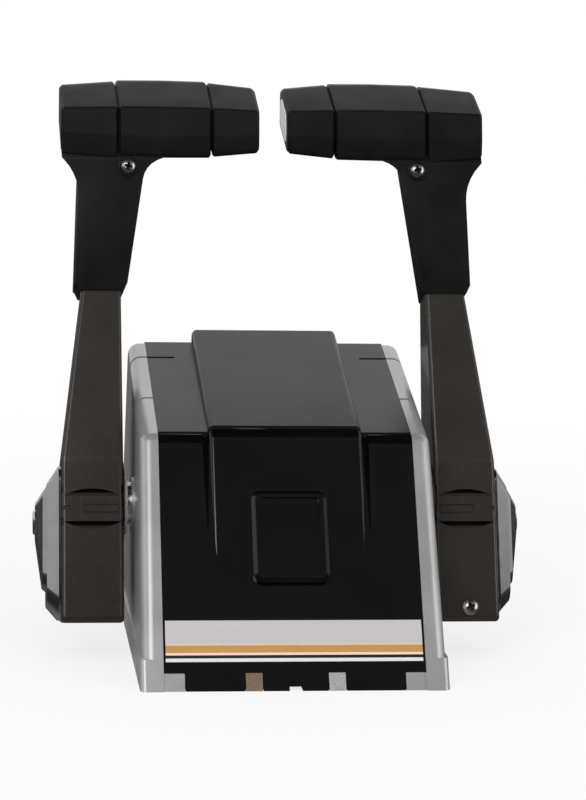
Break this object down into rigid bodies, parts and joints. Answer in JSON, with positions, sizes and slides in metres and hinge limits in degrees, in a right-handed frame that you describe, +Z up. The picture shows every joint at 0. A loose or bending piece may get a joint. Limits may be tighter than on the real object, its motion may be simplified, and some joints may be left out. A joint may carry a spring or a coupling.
{
  "type": "boat throttle control lever",
  "caption": "Twin-lever top-mount engine control: slanted black housing between silver side castings, with a T-handled lever on each side that turns its own shaft.",
  "frame": {"origin": "centre of the housing's bottom face, on the console", "axes": "+X to starboard along the lever shafts, +Y ahead, away from the helmsman, +Z up from the console"},
  "size_m": [0.2148, 0.1864, 0.2439],
  "materials": {
    "gloss_black_panel": "gloss moulded ABS",
    "badge_face": "gloss",
    "satin_black_cover": "satin moulded ABS",
    "silver_casting": "satin silver lacquer",
    "lever_lacquer": "semi-gloss dark lacquer",
    "soft_black_grip": "soft-touch",
    "grey_end_plate": "satin",
    "bright_chrome": "polished",
    "natural_nylon": "turned",
    "black_acetal": "turned",
    "ground_steel": "ground",
    "gear_steel": "machined",
    "spring_steel": "blued",
    "base_alloy": "as cast",
    "yellow_zinc": "yellow passivated",
    "clear_zinc": "zinc plated",
    "brake_lining": "woven",
    "label_film": "printed film"
  },
  "bodies": {
    "housing": {"badge_bezel": "gloss_black_panel", "badge_plate": "badge_face", "base_plate": "base_alloy", "center_bracket": "base_alloy", "front_panel": "gloss_black_panel", "left_front_clip": "yellow_zinc", "rear_cover": "satin_black_cover", "right_front_clip": "clear_zinc", "shift_rod": "ground_steel", "stripe_label": "label_film", "top_cover": "satin_black_cover", "left_side_plate": "silver_casting", "right_side_plate": "silver_casting", "left_rail_insert": "silver_casting", "right_rail_insert": "silver_casting", "left_shaft_bush": "bright_chrome", "right_shaft_bush": "bright_chrome", "left_brake_pad": "brake_lining", "right_brake_pad": "brake_lining", "left_detent_spring": "spring_steel", "right_detent_spring": "spring_steel", "left_throttle_clamp": "base_alloy", "right_throttle_clamp": "base_alloy", "left_shift_clamp": "base_alloy", "right_shift_clamp": "base_alloy"},
    "left_lever": {"left_lever": "lever_lacquer", "left_lever_collar": "black_acetal", "left_thrust_washer": "natural_nylon", "left_hub_cap": "bright_chrome", "left_grip_body": "soft_black_grip", "left_grip_pad": "soft_black_grip", "left_grip_end_plate": "grey_end_plate", "left_shaft": "ground_steel", "left_detent_cam": "gear_steel", "left_drive_gear": "gear_steel", "left_throttle_crank": "gear_steel", "left_throttle_pin": "ground_steel"},
    "left_throttle_button": {"left_throttle_button": "bright_chrome"},
    "left_shift_arm": {"left_shift_gear": "gear_steel", "left_shift_arm": "gear_steel", "left_shift_pin": "ground_steel"},
    "right_lever": {"right_lever": "lever_lacquer", "right_lever_collar": "black_acetal", "right_thrust_washer": "natural_nylon", "right_hub_cap": "bright_chrome", "right_grip_body": "soft_black_grip", "right_grip_pad": "soft_black_grip", "right_grip_end_plate": "grey_end_plate", "right_shaft": "ground_steel", "right_detent_cam": "gear_steel", "right_drive_gear": "gear_steel", "right_throttle_crank": "gear_steel", "right_throttle_pin": "ground_steel"},
    "right_throttle_button": {"right_throttle_button": "bright_chrome"},
    "right_shift_arm": {"right_shift_gear": "gear_steel", "right_shift_arm": "gear_steel", "right_shift_pin": "ground_steel"}
  },
  "joints": [
    {"name": "left_lever_turn", "type": "hinge", "parent": "housing", "child": "left_lever", "pos_m": [0, 0, 0.061], "axis": [-1, 0, 0], "range_deg": [-90, 60]},
    {"name": "left_button_press", "type": "slide", "parent": "left_lever", "child": "left_throttle_button", "axis": [1, 0, 0], "range_m": [0, 0.0035], "stiffness_N_per_m": 400, "springref_m": -0.002},
    {"name": "left_shift_arm_turn", "type": "hinge", "parent": "housing", "child": "left_shift_arm", "pos_m": [0, 0.036, 0.061], "axis": [-1, 0, 0], "range_deg": [-60, 90]},
    {"name": "right_lever_turn", "type": "hinge", "parent": "housing", "child": "right_lever", "pos_m": [0, 0, 0.061], "axis": [-1, 0, 0], "range_deg": [-90, 60]},
    {"name": "right_button_press", "type": "slide", "parent": "right_lever", "child": "right_throttle_button", "axis": [-1, 0, 0], "range_m": [0, 0.0035], "stiffness_N_per_m": 400, "springref_m": -0.002},
    {"name": "right_shift_arm_turn", "type": "hinge", "parent": "housing", "child": "right_shift_arm", "pos_m": [0, 0.036, 0.061], "axis": [-1, 0, 0], "range_deg": [-60, 90]}
  ],
  "couplings": [
    {"joint": "left_shift_arm_turn", "follows": "left_lever_turn", "ratio": -1},
    {"joint": "right_shift_arm_turn", "follows": "right_lever_turn", "ratio": -1}
  ]
}
